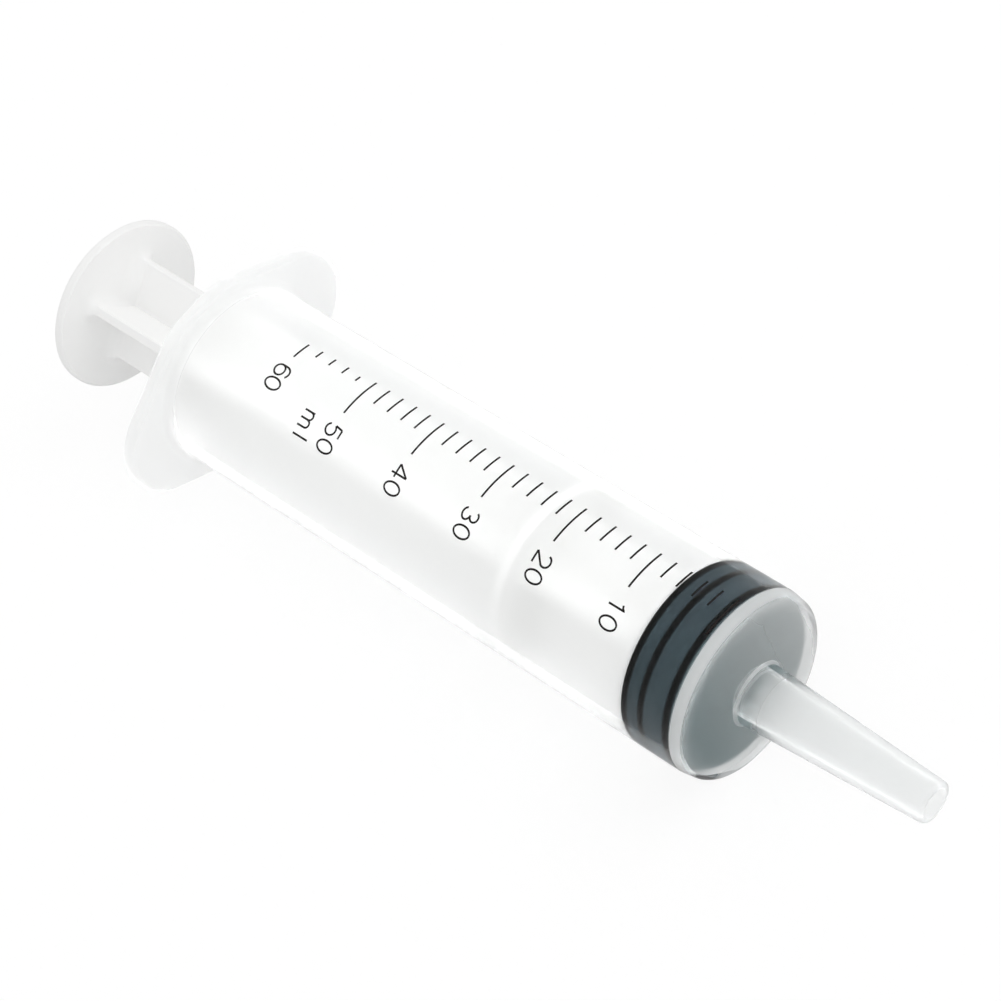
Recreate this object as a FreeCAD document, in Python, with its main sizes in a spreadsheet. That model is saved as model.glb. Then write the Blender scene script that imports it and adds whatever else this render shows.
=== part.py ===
import FreeCAD, Part
import math
import os
import Sketcher

# A disposable 60 ml syringe with its plunger pressed almost home, as three pieces: the barrel with its
# flange and nozzle, the rubber stopper, and the plunger rod that is snapped into the stopper.
# Every piece is drawn in one frame: X runs along the axis towards the nozzle tip, Y along the
# wings of the flange, Z up, and the origin is the middle of the barrel's flat front face.
# The last section tips that frame so that the syringe lies on the ground.

SIZES = {
    # Barrel, lengths from the front face
    "bore_d": 29.0,
    "wall": 1.4,
    "end_wall": 2.0,
    "barrel_len": 116.0,
    "shoulder_len": 3.8,
    "shoulder_drop": 0.6,
    "front_round": 2.0,
    "bump_h": 0.3,
    "bump_w": 1.6,
    "bump_inset": 2.5,
    "mouth_chamfer": 0.5,
    # Flange, its lip and wings measured out from the barrel's side
    "flange_t": 2.7,
    "flange_lip": 2.25,
    "flange_wing": 9.3,
    "flange_flat": 6.4,
    "flange_corner_r": 9.6,
    "flange_end_r": 11.2,
    "flange_chamfer": 0.6,
    "flange_root": 1.2,
    # Nozzle
    "nozzle_len": 33.2,
    "nozzle_base_d": 10.4,
    "nozzle_tip_d": 6.9,
    "nozzle_root": 0.5,
    "tip_round": 0.6,
    "lumen_base_d": 7.8,
    "lumen_tip_d": 5.2,
    "lumen_straight": 7.0,
    # Stopper, ribs measured back from its front face
    "front_gap": 1.05,
    "seal_gap": 0.03,
    "stopper_len": 10.85,
    "land_gap": 0.25,
    "waist_gap": 0.8,
    "nose_chamfer": 0.25,
    "seal_w": 1.0,
    "seal_flank": 0.35,
    "front_seal": 2.32,
    "middle_seal": 7.15,
    # Snap joint between the rod and the stopper
    "snap_gap": 0.05,
    "neck_d": 14.0,
    "head_d": 18.0,
    "lip_t": 1.9,
    "pocket_depth": 5.95,
    "head_chamfer": 1.0,
    # Plunger rod
    "disc_gap": 0.9,
    "disc_t": 1.5,
    "guide_back": 40.5,
    "rib_span": 18.3,
    "rib_t": 1.8,
    "rib_edge": 0.25,
    "rib_root": 2.0,
    "rib_turn": 40.9,
    "thumb_reach": 24.9,
    "thumb_d": 31.1,
    "thumb_t": 1.8,
    "thumb_chamfer": 0.45,
}

Vector = FreeCAD.Vector
doc = FreeCAD.newDocument("Syringe")
sheet = doc.addObject("Spreadsheet::Sheet", "Sizes")
for row, (name, number) in enumerate(SIZES.items(), 1):
    sheet.set("A%d" % row, name)
    sheet.set("B%d" % row, str(number))
    sheet.setAlias("B%d" % row, name)
doc.recompute()


class Size:
    """A number together with the expression that gives it from the sheet."""

    def __init__(self, number, text):
        self.number = number
        self.text = text

    def __add__(self, other):
        other = as_size(other)
        return Size(self.number + other.number, "(%s + %s)" % (self.text, other.text))

    def __sub__(self, other):
        other = as_size(other)
        return Size(self.number - other.number, "(%s - %s)" % (self.text, other.text))

    def __mul__(self, other):
        other = as_size(other)
        return Size(self.number * other.number, "(%s * %s)" % (self.text, other.text))

    def __truediv__(self, other):
        other = as_size(other)
        return Size(self.number / other.number, "(%s / %s)" % (self.text, other.text))

    def __neg__(self):
        return Size(-self.number, "(-1 * %s)" % self.text)


def as_size(thing):
    """A plain number becomes a Size that depends on nothing."""
    if isinstance(thing, Size):
        return thing
    return Size(thing, "%s" % thing)


def cell(name):
    """The sheet's cell of that name."""
    return Size(SIZES[name], "Sizes.%s" % name)


def sine(angle):
    """Sine of an angle in degrees."""
    return Size(math.sin(math.radians(angle.number)), "sin(%s)" % angle.text)


def cosine(angle):
    """Cosine of an angle in degrees."""
    return Size(math.cos(math.radians(angle.number)), "cos(%s)" % angle.text)


def tangent_angle(ratio):
    """Angle in degrees whose tangent is the ratio."""
    return Size(math.degrees(math.atan(ratio.number)), "(atan(%s) / 1 deg)" % ratio.text)


def new_body(name):
    """An empty body whose label is the name of its node."""
    body = doc.addObject("PartDesign::Body", name)
    body.Label = name
    return body


def new_sketch(body, name, role):
    """A sketch lying on one of the body's own planes."""
    sketch = body.newObject("Sketcher::SketchObject", name)
    plane = [part for part in body.Origin.OriginFeatures if part.Role == role][0]
    sketch.AttachmentSupport = [(plane, "")]
    sketch.MapMode = "FlatFace"
    return sketch


def bind(sketch, kind, places, size):
    """One dimension of a sketch, tied to the sheet."""
    index = sketch.addConstraint(Sketcher.Constraint(kind, *places, size.number))
    sketch.setExpression("Constraints[%d]" % index, size.text)


def pin_point(sketch, geometry, end, point):
    """Holds one point of a sketch at its two distances from the origin."""
    bind(sketch, "DistanceX", (-1, 1, geometry, end), as_size(point[0]))
    bind(sketch, "DistanceY", (-1, 1, geometry, end), as_size(point[1]))


def polygon(body, name, role, points):
    """A sketch of straight lines through the points, closed."""
    sketch = new_sketch(body, name, role)
    corners = [Vector(as_size(x).number, as_size(y).number, 0) for x, y in points]
    count = len(corners)
    for i in range(count):
        sketch.addGeometry(Part.LineSegment(corners[i], corners[(i + 1) % count]))
    for i in range(count):
        sketch.addConstraint(Sketcher.Constraint("Coincident", i, 2, (i + 1) % count, 1))
    for i in range(count):
        pin_point(sketch, i, 1, points[i])
    return sketch


def turned(body, name, kind, points):
    """Turns a half section once round the axis, to add it or to take it away."""
    sketch = polygon(body, name + "Section", "XY_Plane", points)
    feature = body.newObject("PartDesign::" + kind, name)
    feature.Profile = sketch
    feature.ReferenceAxis = (sketch, ["H_Axis"])
    feature.Angle = 360
    sketch.Visibility = False
    doc.recompute()
    return feature


def padded(body, name, sketch, back, length):
    """Pads a cross-section forwards from its distance behind the front face."""
    sketch.setExpression("AttachmentOffset.Base.z", (-back).text)
    feature = body.newObject("PartDesign::Pad", name)
    feature.Profile = sketch
    feature.setExpression("Length", length.text)
    sketch.Visibility = False
    doc.recompute()
    return feature


def edges(shape, test):
    """Names of the edges whose points all pass the test, given as x and distance from the axis."""
    names = []
    for number, edge in enumerate(shape.Edges, 1):
        first = edge.FirstParameter
        step = (edge.LastParameter - first) / 4
        points = [edge.valueAt(first + step * i) for i in range(5)]
        if all(test(point.x, math.hypot(point.y, point.z)) for point in points):
            names.append("Edge%d" % number)
    return names


def near(value, size):
    """Whether a measured value is that size."""
    return abs(value - size.number) < 0.005


def eased(body, name, kind, size, test):
    """Rounds or chamfers the edges that pass the test."""
    base = body.Tip
    feature = body.newObject("PartDesign::" + kind, name)
    feature.Base = (base, edges(base.Shape, test))
    feature.setExpression("Radius" if kind == "Fillet" else "Size", size.text)
    doc.recompute()
    return feature


# Distances from the axis and along it that more than one piece uses
bore_r = cell("bore_d") / 2
barrel_r = bore_r + cell("wall")
shoulder_r = barrel_r - cell("shoulder_drop")
barrel_rear = -cell("barrel_len")
flange_front = barrel_rear + cell("flange_t")
nozzle_tip = cell("nozzle_len")
stopper_front = -(cell("end_wall") + cell("front_gap"))
stopper_rear = stopper_front - cell("stopper_len")
disc_r = bore_r - cell("disc_gap")
neck_r = cell("neck_d") / 2
head_r = cell("head_d") / 2
gap = cell("snap_gap")

# Barrel: the closed outside first, then the flange, then everything inside it is cut away
barrel = new_body("barrel")
turned(barrel, "Outside", "Revolution", [
    (barrel_rear, 0),
    (barrel_rear, barrel_r),
    (-cell("shoulder_len"), barrel_r),
    (0, shoulder_r),
    (0, cell("nozzle_base_d") / 2),
    (nozzle_tip, cell("nozzle_tip_d") / 2),
    (nozzle_tip, 0),
])


def flange_sketch(body):
    """The flange's outline: flat above and below, rounded corners, and two wing ends."""
    sketch = new_sketch(body, "FlangeOutline", "YZ_Plane")
    corner_r = cell("flange_corner_r")
    end_r = cell("flange_end_r")
    across = cell("flange_flat") / 2
    up = barrel_r + cell("flange_lip") - corner_r
    out = barrel_r + cell("flange_wing") - end_r
    # Direction square to the line that touches a wing end and the corner above it
    dy = (out - across).number
    dz = -up.number
    touch = math.atan2(dz, dy) + math.acos((corner_r.number - end_r.number) / math.hypot(dy, dz))
    half_turn = math.pi
    arcs = [
        (out, 0, end_r, -touch, touch),
        (across, up, corner_r, touch, half_turn / 2),
        (-across, up, corner_r, half_turn / 2, half_turn - touch),
        (-out, 0, end_r, half_turn - touch, half_turn + touch),
        (-across, -up, corner_r, half_turn + touch, half_turn * 1.5),
        (across, -up, corner_r, half_turn * 1.5, half_turn * 2 - touch),
    ]
    ends = []
    for y, z, radius, start, stop in arcs:
        middle = Vector(as_size(y).number, as_size(z).number, 0)
        arc = Part.ArcOfCircle(Part.Circle(middle, Vector(0, 0, 1), radius.number), start, stop)
        sketch.addGeometry(arc)
        ends.append((arc.StartPoint, arc.EndPoint))
    count = len(arcs)
    for i in range(count):
        sketch.addGeometry(Part.LineSegment(ends[i][1], ends[(i + 1) % count][0]))
    for i in range(count):
        sketch.addConstraint(Sketcher.Constraint("Tangent", i, 2, count + i, 1))
        sketch.addConstraint(Sketcher.Constraint("Tangent", count + i, 2, (i + 1) % count, 1))
    for i, (y, z, radius, start, stop) in enumerate(arcs):
        pin_point(sketch, i, 3, (y, z))
        bind(sketch, "Radius", (i,), radius)
    return sketch


padded(barrel, "Flange", flange_sketch(barrel), cell("barrel_len"), cell("flange_t"))

bump_middle = barrel_rear + cell("bump_inset")
bump_foot = cell("bump_w") / 2
bump_top = bump_foot - cell("bump_h")
lumen_tip_r = cell("lumen_tip_d") / 2
mouth_r = bore_r + cell("mouth_chamfer")
turned(barrel, "Inside", "Groove", [
    (barrel_rear - 1, 0),
    (barrel_rear - 1, mouth_r),
    (barrel_rear, mouth_r),
    (barrel_rear + cell("mouth_chamfer"), bore_r),
    (bump_middle - bump_foot, bore_r),
    (bump_middle - bump_top, bore_r - cell("bump_h")),
    (bump_middle + bump_top, bore_r - cell("bump_h")),
    (bump_middle + bump_foot, bore_r),
    (-cell("end_wall"), bore_r),
    (-cell("end_wall"), cell("lumen_base_d") / 2),
    (nozzle_tip - cell("lumen_straight"), lumen_tip_r),
    (nozzle_tip + 1, lumen_tip_r),
    (nozzle_tip + 1, 0),
])

eased(barrel, "FrontRound", "Fillet", cell("front_round"),
      lambda x, r: near(x, as_size(0)) and near(r, shoulder_r))
eased(barrel, "TipRound", "Fillet", cell("tip_round"),
      lambda x, r: near(x, nozzle_tip) and near(r, cell("nozzle_tip_d") / 2))
eased(barrel, "NozzleRoot", "Chamfer", cell("nozzle_root"),
      lambda x, r: near(x, as_size(0)) and near(r, cell("nozzle_base_d") / 2))
eased(barrel, "FlangeRoot", "Fillet", cell("flange_root"),
      lambda x, r: near(x, flange_front) and near(r, barrel_r))
eased(barrel, "FlangeEdges", "Chamfer", cell("flange_chamfer"),
      lambda x, r: (near(x, flange_front) or near(x, barrel_rear))
      and r > barrel_r.number + cell("flange_root").number + 0.1)

# Stopper: three sealing ribs outside, and a pocket behind for the head of the rod
land_r = bore_r - cell("land_gap")
waist_r = bore_r - cell("waist_gap")
seal_r = bore_r - cell("seal_gap")
half_seal = cell("seal_w") / 2
front_seal = stopper_front - cell("front_seal")
middle_seal = stopper_front - cell("middle_seal")
heel_seal = stopper_rear + cell("seal_w")
lip_front = stopper_rear + cell("lip_t")
pocket_front = stopper_rear + cell("pocket_depth")
stopper = new_body("stopper")
turned(stopper, "Rubber", "Revolution", [
    (stopper_front, 0),
    (stopper_front, land_r - cell("nose_chamfer")),
    (stopper_front - cell("nose_chamfer"), land_r),
    (front_seal + half_seal + cell("seal_flank"), land_r),
    (front_seal + half_seal, seal_r),
    (front_seal - half_seal, seal_r),
    (front_seal - half_seal - cell("seal_flank"), waist_r),
    (middle_seal + half_seal + cell("seal_flank"), waist_r),
    (middle_seal + half_seal, seal_r),
    (middle_seal - half_seal, seal_r),
    (middle_seal - half_seal - cell("seal_flank"), waist_r),
    (heel_seal + cell("seal_flank"), waist_r),
    (heel_seal, seal_r),
    (stopper_rear, seal_r),
    (stopper_rear, neck_r),
    (lip_front, neck_r),
    (lip_front, head_r),
    (pocket_front, head_r),
    (pocket_front, 0),
])

# Plunger rod: a cross-shaped web with a disc behind the stopper, a guide disc and a thumb disc
disc_front = stopper_rear - gap
disc_back = disc_front - cell("disc_t")
guide_middle = -cell("guide_back")
half_disc = cell("disc_t") / 2
thumb_back = cell("barrel_len") + cell("thumb_reach")
thumb_front = -thumb_back
thumb_rear = thumb_front - cell("thumb_t")
thumb_r = cell("thumb_d") / 2
reach = cell("rib_span") / 2
half_rib = cell("rib_t") / 2
plunger = new_body("plunger_rod")
web = polygon(plunger, "WebSection", "YZ_Plane", [
    (reach, -half_rib),
    (reach, half_rib),
    (half_rib, half_rib),
    (half_rib, reach),
    (-half_rib, reach),
    (-half_rib, half_rib),
    (-reach, half_rib),
    (-reach, -half_rib),
    (-half_rib, -half_rib),
    (-half_rib, -reach),
    (half_rib, -reach),
    (half_rib, -half_rib),
])
web.AttachmentOffset = FreeCAD.Placement(Vector(0, 0, 0), FreeCAD.Rotation(Vector(0, 0, 1), 1))
web.setExpression("AttachmentOffset.Rotation.Angle", cell("rib_turn").text)
padded(plunger, "Web", web, thumb_back, disc_back - thumb_front)
rib_corner = Size(math.hypot(reach.number, half_rib.number), "")
eased(plunger, "WebEdges", "Chamfer", cell("rib_edge"), lambda x, r: near(r, rib_corner))
turned(plunger, "SnapHead", "Revolution", [
    (disc_back, 0),
    (disc_back, disc_r),
    (disc_front, disc_r),
    (disc_front, neck_r - gap),
    (lip_front + gap, neck_r - gap),
    (lip_front + gap, head_r - gap),
    (pocket_front - gap - cell("head_chamfer"), head_r - gap),
    (pocket_front - gap, head_r - gap - cell("head_chamfer")),
    (pocket_front - gap, 0),
])
turned(plunger, "GuideDisc", "Revolution", [
    (guide_middle - half_disc, 0),
    (guide_middle - half_disc, disc_r),
    (guide_middle + half_disc, disc_r),
    (guide_middle + half_disc, 0),
])
turned(plunger, "ThumbDisc", "Revolution", [
    (thumb_rear, 0),
    (thumb_rear, thumb_r),
    (thumb_front, thumb_r),
    (thumb_front, 0),
])
eased(plunger, "WebRoot", "Fillet", cell("rib_root"),
      lambda x, r: near(x, thumb_front) and r < rib_corner.number + 0.01)
eased(plunger, "ThumbEdges", "Chamfer", cell("thumb_chamfer"),
      lambda x, r: near(r, thumb_r))

# Lay the syringe down: it rests on the flange's lower edge and on the front end of the barrel's
# straight side, so the axis dips towards the nozzle.
heel_x = flange_front - cell("flange_chamfer")
heel_r = barrel_r + cell("flange_lip")
run = -cell("shoulder_len") - heel_x
dip = tangent_angle(cell("flange_lip") / run)
lift = heel_x * sine(dip) + heel_r * cosine(dip)
front_end = ((nozzle_tip - cell("tip_round")) * cosine(dip)
             + (cell("nozzle_tip_d") / 2 - cell("tip_round")) * sine(dip) + cell("tip_round"))
rear_end = thumb_rear * cosine(dip) - (thumb_r - cell("thumb_chamfer")) * sine(dip)
shift = -(front_end + rear_end) / 2

os.makedirs("parts", exist_ok=True)
bodies = [barrel, stopper, plunger]
for body in bodies:
    body.Placement = FreeCAD.Placement(Vector(0, 0, 0), FreeCAD.Rotation(Vector(0, 1, 0), 1))
    body.setExpression("Placement.Rotation.Angle", dip.text)
    body.setExpression("Placement.Base.x", shift.text)
    body.setExpression("Placement.Base.z", lift.text)
doc.recompute()

for thing in doc.Objects:
    if "Invalid" in thing.State or "Error" in thing.State:
        raise RuntimeError("%s did not build: %s" % (thing.Name, thing.State))
for body in bodies:
    if body.Shape.isNull() or not body.Shape.isValid() or len(body.Shape.Solids) != 1:
        raise RuntimeError("%s is not one sound solid" % body.Label)
    body.Shape.exportStep("parts/%s.step" % body.Label)
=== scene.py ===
import math
import bpy
from mathutils import Matrix, Vector


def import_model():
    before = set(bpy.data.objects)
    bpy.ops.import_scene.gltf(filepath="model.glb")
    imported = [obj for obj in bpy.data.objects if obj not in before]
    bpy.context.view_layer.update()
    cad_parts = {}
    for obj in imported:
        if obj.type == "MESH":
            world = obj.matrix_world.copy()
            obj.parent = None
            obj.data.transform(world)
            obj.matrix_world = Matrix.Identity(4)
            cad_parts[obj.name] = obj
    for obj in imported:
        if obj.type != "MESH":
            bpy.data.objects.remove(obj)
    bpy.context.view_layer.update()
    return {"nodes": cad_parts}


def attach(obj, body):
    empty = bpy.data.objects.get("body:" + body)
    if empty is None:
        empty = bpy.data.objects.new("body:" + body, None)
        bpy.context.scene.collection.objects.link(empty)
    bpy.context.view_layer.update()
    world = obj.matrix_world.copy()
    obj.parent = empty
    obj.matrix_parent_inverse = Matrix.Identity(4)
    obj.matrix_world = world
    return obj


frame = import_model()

nodes = frame["nodes"]

# All lengths are in metres.  How the syringe lies: the middle of the barrel's front face, and the
# dip of its axis.  In its own frame, x runs along the axis from that face towards the nozzle's end.
DIP = math.radians(1.1707317)
FACE = Vector((0.05486365, 0.0, 0.01581904))
LAY = Matrix.Translation(FACE) @ Matrix.Rotation(DIP, 4, "Y")
BARREL_R = 0.0159

# Soft edges of the barrel's parts along its axis, each from where it starts to where it ends
FLANGE_EDGE = (-0.1119, -0.1116)
MILKY_EDGE = (-0.0152, -0.0138)
RIM_EDGE = (-0.0038, -0.0036)
SHOULDER_EDGE = (-0.0037, -0.0035)
BORE_END = (-0.0018, -0.0016)
FACE_BACK = (-0.0018, -0.0014)
FACE_FRONT = (0.0, 0.001)
ROOT_START = (0.00002, 0.0001)
ROOT_END = (0.0005, 0.0007)
NOZZLE_EDGE = (0.0, 0.006)
LUMEN_EDGE = (0.0, 0.004)

# Soft edges out from the axis.  The outlet narrows by LUMEN_TAPER for each metre along it.
SKINS_APART = (0.0146, 0.0148)
WALL_EDGE = (0.0138, 0.014)
RIM_R = (0.0136, 0.0142)
LUMEN_R = (0.0044, 0.0046)
LUMEN_TAPER = 0.046

# Soft edges on the stopper, where its painted light and painted shade change: its front face along
# the axis, and the tops of its ribs out from it
STOPPER_FRONT = (-0.0047, -0.0044)
RIB_TOP = (0.01431, 0.01438)


# Camera, fitted to the photograph

def axes(right, down, forward):
    """Camera rotation from its picture directions, given in the syringe's own frame."""
    turn = Matrix((right, [-part for part in down], [-part for part in forward])).transposed()
    return turn.to_4x4()


CAMERA_PLACE = (0.1963, -0.1214, 0.3910)
CAMERA_TURN = axes((0.72704, 0.63294, -0.26609), (0.44321, -0.72862, -0.52218),
                   (-0.52439, 0.26171, -0.81026))

camera = bpy.data.objects.new("camera", bpy.data.cameras.new("camera"))
bpy.context.scene.collection.objects.link(camera)
camera.data.sensor_width = 36.0
camera.data.lens = 109.03
camera.data.clip_start = 0.02
camera.data.clip_end = 20.0
camera.matrix_world = LAY @ Matrix.Translation(CAMERA_PLACE) @ CAMERA_TURN
bpy.context.scene.camera = camera
bpy.context.scene.view_settings.view_transform = "Standard"


# Materials

class Shader:
    """A material's node tree, with short calls to fill it.

    A source is a socket, or a plain number where the call says so.
    """

    def __init__(self, name):
        self.material = bpy.data.materials.new(name)
        self.material.use_nodes = True
        self.tree = self.material.node_tree
        self.tree.nodes.clear()
        self.output = self.node("ShaderNodeOutputMaterial")

    def node(self, kind, **values):
        """A new node, with its own settings."""
        made = self.tree.nodes.new(kind)
        for key, value in values.items():
            setattr(made, key, value)
        return made

    def put(self, kind, **values):
        """A new node, with plain values on its sockets."""
        made = self.node(kind)
        for key, value in values.items():
            made.inputs[key.replace("_", " ")].default_value = value
        return made

    def link(self, source, target):
        self.tree.links.new(source, target)

    def surface(self, shader):
        self.link(shader, self.output.inputs["Surface"])

    def place(self):
        """Where a point is, in the object's own metres."""
        return self.node("ShaderNodeTexCoord").outputs["Object"]

    def noise(self, scale, detail=2.0, stretch=(1.0, 1.0, 1.0)):
        """Noise in the object's own metres."""
        mapping = self.put("ShaderNodeMapping", Scale=stretch)
        self.link(self.place(), mapping.inputs["Vector"])
        made = self.put("ShaderNodeTexNoise", Scale=scale, Detail=detail)
        self.link(mapping.outputs["Vector"], made.inputs["Vector"])
        return made.outputs["Fac"]

    def ramp(self, source, low, high, edge=(0.0, 1.0)):
        """Maps a range of one number to a range of another."""
        made = self.put("ShaderNodeMapRange", From_Min=edge[0], From_Max=edge[1], To_Min=low,
                        To_Max=high)
        self.link(source, made.inputs["Value"])
        return made.outputs["Result"]

    def past(self, source, edge):
        """1 past a soft edge and 0 before it."""
        return self.ramp(source, 0.0, 1.0, edge)

    def before(self, source, edge):
        """1 before a soft edge and 0 past it."""
        return self.ramp(source, 1.0, 0.0, edge)

    def fold(self, operation, total, *sources):
        """Arithmetic from the left, on sockets and plain numbers."""
        for source in sources:
            made = self.node("ShaderNodeMath", operation=operation)
            for given, target in zip((total, source), made.inputs):
                if isinstance(given, float):
                    target.default_value = given
                else:
                    self.link(given, target)
            total = made.outputs[0]
        return total

    def times(self, *sources):
        return self.fold("MULTIPLY", *sources)

    def plus(self, *sources):
        return self.fold("ADD", *sources)

    def most(self, *sources):
        return self.fold("MAXIMUM", *sources)

    def lay(self):
        """Distance along the syringe from the barrel's front face, and distance from its axis."""
        off = self.node("ShaderNodeVectorMath", operation="SUBTRACT")
        off.inputs[1].default_value = FACE
        self.link(self.place(), off.inputs[0])
        along = self.node("ShaderNodeVectorMath", operation="DOT_PRODUCT")
        along.inputs[1].default_value = LAY.to_3x3() @ Vector((1.0, 0.0, 0.0))
        self.link(off.outputs["Vector"], along.inputs[0])
        length = self.node("ShaderNodeVectorMath", operation="LENGTH")
        self.link(off.outputs["Vector"], length.inputs[0])
        whole, part = [self.times(socket, socket)
                       for socket in (length.outputs["Value"], along.outputs["Value"])]
        return along.outputs["Value"], self.fold("SQRT", self.fold("SUBTRACT", whole, part), 0.0)

    def blend(self, source, low, high):
        """Mixes two colours, each a socket or three plain numbers."""
        made = self.node("ShaderNodeMix", data_type="RGBA")
        self.link(source, made.inputs[0])
        for colour, target in ((low, made.inputs[6]), (high, made.inputs[7])):
            if isinstance(colour, tuple):
                target.default_value = (*colour, 1.0)
            else:
                self.link(colour, target)
        return made.outputs[2]

    def mix(self, share, first, second):
        """Mixes two shaders."""
        made = self.node("ShaderNodeMixShader")
        for source, target in zip((share, first, second), made.inputs):
            self.link(source, target)
        return made.outputs["Shader"]

    def through_shadows(self, shader):
        """Shows the shader, but lets the lamps' light straight through to what is behind."""
        path = self.node("ShaderNodeLightPath")
        clear = self.node("ShaderNodeBsdfTransparent")
        self.surface(self.mix(path.outputs["Is Shadow Ray"], shader, clear.outputs["BSDF"]))

    def bump(self, source, distance, strength):
        made = self.put("ShaderNodeBump", Distance=distance, Strength=strength)
        self.link(source, made.inputs["Height"])
        return made.outputs["Normal"]


def clear_plastic():
    """Milky clear moulded plastic: clear outside, with a haze on the front, nozzle and flange; on
    the front the haze is painted stronger on the lit side, as painted light.

    The bore has a film that scatters light, so what touches the wall is seen through it, and what
    stands off it fades to white.
    """
    s = Shader("clear_plastic")
    body = s.put("ShaderNodeBsdfPrincipled", IOR=1.11, Coat_Weight=0.15, Coat_Roughness=0.12)
    along, radius = s.lay()
    side = s.node("ShaderNodeSeparateXYZ")
    s.link(s.place(), side.inputs[0])
    cloud = s.noise(60.0, 3.0, (0.4, 1.0, 1.0))

    # Where things are: 1 there and 0 elsewhere
    shoulder = s.times(s.past(along, SHOULDER_EDGE), s.before(along, FACE_BACK),
                       s.past(radius, SKINS_APART))
    face = s.times(s.past(along, FACE_BACK), s.before(along, FACE_FRONT))
    root = s.times(s.past(along, ROOT_START), s.before(along, ROOT_END))
    nozzle = s.past(along, NOZZLE_EDGE)
    flange = s.before(along, FLANGE_EDGE)
    rim = s.times(s.past(along, RIM_EDGE), s.past(radius, RIM_R))
    inside = s.times(s.before(radius, SKINS_APART), s.before(along, BORE_END))
    wall = s.times(inside, s.ramp(radius, 0.3, 1.0, WALL_EDGE))
    narrow = s.plus(radius, s.times(along, LUMEN_TAPER))
    lumen = s.times(s.before(narrow, LUMEN_R), s.ramp(along, 0.5, 0.85, LUMEN_EDGE))

    # Haze in the plastic; on the front face it is painted stronger towards +Y, the lit side, as
    # painted light that makes that side whiter
    face_haze_painted_light = s.times(face, s.ramp(side.outputs["Y"], 0.03, 0.42, (-0.012, 0.016)))
    # The veil gathers the real haze and the painted light on the front face
    veil_with_painted_light = s.plus(s.times(shoulder, 0.55), face_haze_painted_light, s.times(root, 0.25), s.times(nozzle, 0.16),
                  s.times(flange, 0.5))
    veil_with_painted_light = s.times(veil_with_painted_light, s.ramp(cloud, 0.85, 1.15))
    s.link(s.fold("SUBTRACT", 1.0, veil_with_painted_light), body.inputs["Transmission Weight"])
    tint = s.blend(nozzle, s.blend(cloud, (0.99, 0.994, 0.994), (0.998, 1.0, 1.0)),
                   s.blend(cloud, (0.925, 0.938, 0.938), (0.945, 0.953, 0.953)))
    s.link(tint, body.inputs["Base Color"])
    milky = s.ramp(s.before(along, MILKY_EDGE), 0.04, 0.92)
    rough = s.most(s.ramp(veil_with_painted_light, 0.06, 0.3, (0.0, 0.4)), s.times(wall, milky), s.times(flange, 0.8),
                   s.times(rim, 0.25), s.times(nozzle, 0.4))
    s.link(rough, body.inputs["Roughness"])

    # The film: matt glass, with more glow where nothing has to show through it
    matt = s.put("ShaderNodeBsdfGlass", Color=(0.99, 0.992, 0.991, 1.0), IOR=1.12, Roughness=1.0)
    glow = s.put("ShaderNodeBsdfTranslucent", Color=(0.982, 0.984, 0.983, 1.0))
    film = s.mix(s.most(s.times(lumen, 0.8), s.times(flange, 0.6), 0.35), matt.outputs["BSDF"],
                 glow.outputs["BSDF"])
    share = s.most(s.times(inside, 0.88), s.times(flange, 0.5), lumen)
    s.through_shadows(s.mix(share, body.outputs["BSDF"], film))
    return s.material


def rubber():
    """Smooth blue-grey rubber, with painted shade and light: the tops of the ribs that seal are
    painted near black as painted shade where they press on the bore, and the front is painted a
    lighter slate as painted light.
    """
    s = Shader("dark_rubber")
    body = s.put("ShaderNodeBsdfPrincipled", IOR=1.15)
    along, radius = s.lay()
    cloud = s.noise(90.0, 3.0)
    waist = s.blend(cloud, (0.034, 0.065, 0.073), (0.048, 0.061, 0.076))
    # Painted shade: the rib tops, where they press on the bore, are painted near black
    ribs_with_painted_shade = s.blend(s.past(radius, RIB_TOP), waist, (0.001, 0.0015, 0.002))
    # Painted light: the stopper's front is painted a lighter slate than its sides
    front = s.blend(cloud, (0.11, 0.16, 0.165), (0.135, 0.175, 0.185))
    s.link(s.blend(s.past(along, STOPPER_FRONT), ribs_with_painted_shade, front), body.inputs["Base Color"])
    s.link(s.ramp(cloud, 0.42, 0.55), body.inputs["Roughness"])
    s.link(s.bump(s.noise(500.0, 2.0), 0.00002, 0.1), body.inputs["Normal"])
    s.surface(body.outputs["BSDF"])
    return s.material


def white_plastic():
    """Opaque white moulded plastic with a satin skin."""
    s = Shader("white_plastic")
    body = s.put("ShaderNodeBsdfPrincipled", IOR=1.45)
    cloud = s.noise(70.0, 3.0)
    s.link(s.blend(cloud, (0.965, 0.965, 0.96), (0.98, 0.98, 0.975)), body.inputs["Base Color"])
    s.link(s.ramp(cloud, 0.36, 0.46), body.inputs["Roughness"])
    s.link(s.bump(s.noise(700.0, 2.0), 0.00002, 0.1), body.inputs["Normal"])
    s.surface(body.outputs["BSDF"])
    return s.material


def ink():
    """Brown-black printing ink, slightly uneven."""
    s = Shader("ink")
    body = s.put("ShaderNodeBsdfPrincipled", IOR=1.3)
    cloud = s.noise(1400.0, 2.0)
    s.link(s.blend(cloud, (0.006, 0.004, 0.0035), (0.016, 0.011, 0.01)), body.inputs["Base Color"])
    s.link(s.ramp(cloud, 0.4, 0.6), body.inputs["Roughness"])
    s.surface(body.outputs["BSDF"])
    return s.material


def dress(name, material):
    """Gives a CAD node its material, and shading that keeps flat faces flat up to their edges."""
    made = nodes[name]
    made.data.materials.clear()
    made.data.materials.append(material)
    seam = made.modifiers.new("seam", "WELD")
    seam.merge_threshold = 0.000002
    flat = made.modifiers.new("flat", "WEIGHTED_NORMAL")
    flat.mode = "FACE_AREA"
    flat.weight = 100
    flat.keep_sharp = True


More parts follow.
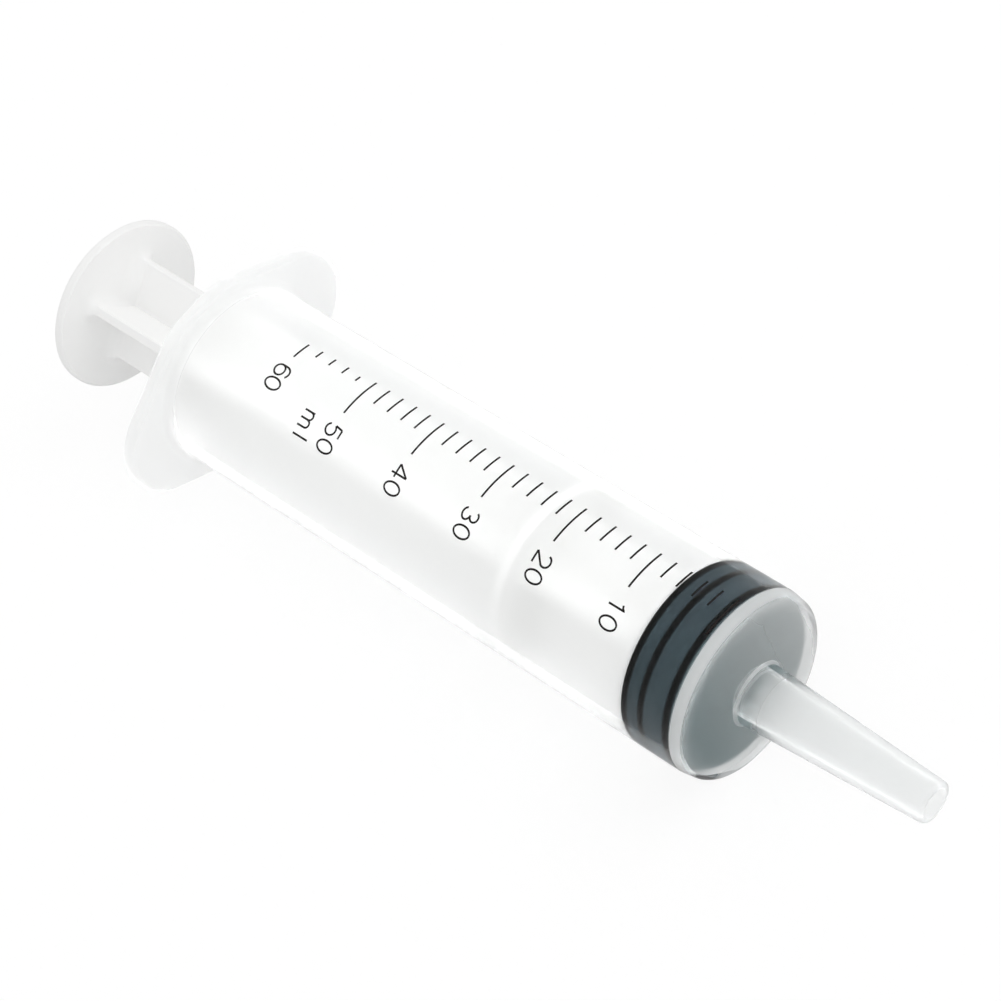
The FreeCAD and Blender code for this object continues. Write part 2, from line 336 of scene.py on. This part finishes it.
dress("barrel", clear_plastic())
dress("stopper", rubber())
dress("plunger_rod", white_plastic())


# Printed scale.  A stroke is drawn flat, in metres along the axis and round the barrel, and is
# then laid on the barrel's outside.  Round the barrel counts from the top towards +Y.

PRINT_R = BARREL_R + 0.00003
STROKE_STEP = 0.0003
LETTER_H = 0.0031
LETTER_W = 0.0033
STROKE = 0.00034
TICK = 0.00036

# The zero mark's place on the axis, the distance between marks, and how many marks follow it
ZERO = -0.00442
STEP = 0.003008
LAST = 30

# From where to where a mark reaches round the barrel, in degrees from the top
PLAIN_MARK = (9.3, 22.8)
TENS_MARK = (-4.9, 22.8)
LAST_MARK = (8.5, 21.3)
LATE_MARK = (15.8, 22.0)
SHORT_MARK = (16.1, 20.3)

# Where the two digits of a number stand, in degrees from the top, and how far past their mark
DIGITS = (-16.7, -27.2)
LAST_DIGITS = (-2.6, -11.8)
DIGITS_SHIFT = 0.0003

# The unit: its place on the axis, and its two letters in degrees from the top
UNIT = -0.08455
UNIT_LETTERS = (("m", -19.3), ("l", -29.8))


def on_barrel(along, turn):
    """A point of the print, from its place on the axis and its angle from the top."""
    return LAY @ Vector((along, PRINT_R * math.sin(turn), PRINT_R * math.cos(turn)))


def ribbon(path, width):
    """Left and right edges of a stroke along a path of (along, round) points."""
    rows = []
    for i, (x, y) in enumerate(path):
        before = path[max(i - 1, 0)]
        after = path[min(i + 1, len(path) - 1)]
        dx, dy = after[0] - before[0], after[1] - before[1]
        length = math.hypot(dx, dy)
        nx, ny = -dy / length * width / 2, dx / length * width / 2
        rows.append(((x + nx, y + ny), (x - nx, y - ny)))
    return rows


def dense(path, step):
    """The path with more points on its long stretches."""
    out = [path[0]]
    for (xa, ya), (xb, yb) in zip(path, path[1:]):
        count = max(1, round(math.hypot(xb - xa, yb - ya) / step))
        out += [(xa + (xb - xa) * k / count, ya + (yb - ya) * k / count)
                for k in range(1, count + 1)]
    return out


class Print:
    """One mesh that gathers strokes."""

    def __init__(self):
        self.points = []
        self.faces = []

    def stroke(self, path, width):
        rows = ribbon(dense(path, STROKE_STEP), width)
        first = len(self.points)
        for row in rows:
            self.points += [on_barrel(along, around / PRINT_R) for along, around in row]
        for i in range(len(rows) - 1):
            a = first + 2 * i
            self.faces.append((a, a + 1, a + 3, a + 2))

    def mark(self, number):
        """A line across the barrel."""
        along = ZERO - STEP * number
        ends = [math.radians(end) for end in reach(number)]
        self.stroke([(along, PRINT_R * end) for end in ends], TICK)

    def letter(self, name, along, turn):
        """A letter centred at a place on the axis and at degrees from the top."""
        middle = PRINT_R * math.radians(turn)
        for path in LETTERS[name]:
            self.stroke([(along + (y - 0.5) * LETTER_H, middle - x * LETTER_W) for x, y in path],
                        STROKE)

    def build(self, name, material):
        mesh = bpy.data.meshes.new(name)
        mesh.from_pydata(self.points, [], self.faces)
        mesh.materials.append(material)
        made = bpy.data.objects.new(name, mesh)
        bpy.context.scene.collection.objects.link(made)
        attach(made, "barrel")


def reach(number):
    """From where to where a mark of the scale reaches, as in the photograph."""
    if number == LAST:
        return LAST_MARK
    if number == 26:
        return SHORT_MARK
    if number > 26:
        return LATE_MARK
    return TENS_MARK if number % 5 == 0 else PLAIN_MARK


def arc(cx, cy, rx, ry, start, stop, count=28):
    """Points on an oval, angles in degrees, counted from the right through the top."""
    out = []
    for k in range(count + 1):
        angle = math.radians(start + (stop - start) * k / count)
        out.append((cx + rx * math.cos(angle), cy + ry * math.sin(angle)))
    return out


# Strokes of each letter in its own box, x to the right, y up, 1 high
LETTERS = {
    "0": [arc(0.0, 0.5, 0.31, 0.5, 90, 450, 40)],
    "1": [[(-0.16, 0.78), (0.0, 0.86), (0.06, 1.0), (0.06, 0.0)]],
    "2": [arc(0.0, 0.7, 0.29, 0.3, 170, -35) + [(-0.3, 0.0)], [(-0.3, 0.0), (0.32, 0.0)]],
    "3": [arc(0.0, 0.755, 0.25, 0.245, 160, -90), arc(0.0, 0.255, 0.3, 0.255, 90, -160)],
    "4": [[(0.16, 0.0), (0.16, 1.0)], [(0.16, 1.0), (-0.34, 0.28)], [(-0.34, 0.28), (0.36, 0.28)]],
    "5": [[(0.26, 1.0), (-0.2, 1.0)], [(-0.2, 1.0), (-0.27, 0.52)],
          [(-0.27, 0.52)] + arc(0.0, 0.32, 0.3, 0.32, 128, -155)],
    "6": [arc(0.02, 0.62, 0.32, 0.38, 45, 180) + arc(0.0, 0.32, 0.3, 0.32, 180, 540, 40)],
    "m": [[(-0.42, 0.0), (-0.42, 0.7)], arc(-0.21, 0.49, 0.2, 0.21, 180, 0, 14) + [(-0.01, 0.0)],
          arc(0.2, 0.49, 0.2, 0.21, 180, 0, 14) + [(0.4, 0.0)]],
    "l": [[(0.0, 0.0), (0.0, 1.04)]],
}


scale_print = Print()
for number in range(LAST + 1):
    scale_print.mark(number)
for tens in range(1, 7):
    along = ZERO - STEP * 5 * tens + DIGITS_SHIFT
    for name, turn in zip((str(tens), "0"), DIGITS if tens < 6 else LAST_DIGITS):
        scale_print.letter(name, along, turn)
for name, turn in UNIT_LETTERS:
    scale_print.letter(name, UNIT, turn)
scale_print.build("scale_print", ink())


# Floor, backdrop and light

def floor_material():
    """Pale floor that is white to the camera, and still darkens where the syringe shades it."""
    s = Shader("floor")
    matt = s.put("ShaderNodeBsdfDiffuse", Color=(0.8, 0.8, 0.8, 1.0))
    glow = s.put("ShaderNodeEmission", Color=(1.0, 1.0, 1.0, 1.0), Strength=1.06)
    path = s.node("ShaderNodeLightPath")
    seen = s.most(path.outputs["Is Camera Ray"], s.times(path.outputs["Is Transmission Ray"], 0.9))
    s.surface(s.mix(s.ramp(seen, 0.0, 0.82), matt.outputs["BSDF"], glow.outputs["Emission"]))
    return s.material


def world():
    """Even white studio light from all round, dimmer where it is only mirrored."""
    made = bpy.data.worlds.new("studio")
    bpy.context.scene.world = made
    made.use_nodes = True
    tree = made.node_tree
    tree.nodes.clear()
    out = tree.nodes.new("ShaderNodeOutputWorld")
    back = tree.nodes.new("ShaderNodeBackground")
    path = tree.nodes.new("ShaderNodeLightPath")
    back.inputs["Color"].default_value = (1.0, 1.0, 1.0, 1.0)

    def choose(test, yes, no):
        """One number where a ray passes the test, and another number or socket where not."""
        pick = tree.nodes.new("ShaderNodeMix")
        tree.links.new(path.outputs[test], pick.inputs[0])
        pick.inputs[3].default_value = yes
        if isinstance(no, float):
            pick.inputs[2].default_value = no
        else:
            tree.links.new(no, pick.inputs[2])
        return pick.outputs[0]

    mirrored = choose("Is Glossy Ray", 0.6, 0.8)
    through = choose("Is Transmission Ray", 1.0, mirrored)
    seen = choose("Is Camera Ray", 1.0, through)
    tree.links.new(seen, back.inputs["Strength"])
    tree.links.new(back.outputs["Background"], out.inputs["Surface"])


def lamp(name, place, width, power):
    """A soft square lamp that faces the middle of the floor."""
    made = bpy.data.objects.new(name, bpy.data.lights.new(name, "AREA"))
    made.data.size = width
    made.data.energy = power
    made.location = place
    made.rotation_mode = "QUATERNION"
    made.rotation_quaternion = (-Vector(place)).to_track_quat("-Z", "Y")
    bpy.context.scene.collection.objects.link(made)


FLOOR_HALF = 3.0
FLOOR_DROP = 0.0002

floor_mesh = bpy.data.meshes.new("floor")
corners = [(x * FLOOR_HALF, y * FLOOR_HALF, 0.0) for x, y in ((-1, -1), (1, -1), (1, 1), (-1, 1))]
floor_mesh.from_pydata(corners, [], [(0, 1, 2, 3)])
floor_mesh.materials.append(floor_material())
floor = bpy.data.objects.new("floor", floor_mesh)
floor.location.z = -FLOOR_DROP
bpy.context.scene.collection.objects.link(floor)
world()
lamp("key", (0.3, 0.6, 0.85), 0.6, 1.9)
lamp("fill", (0.2, -0.85, 0.55), 0.8, 0.45)
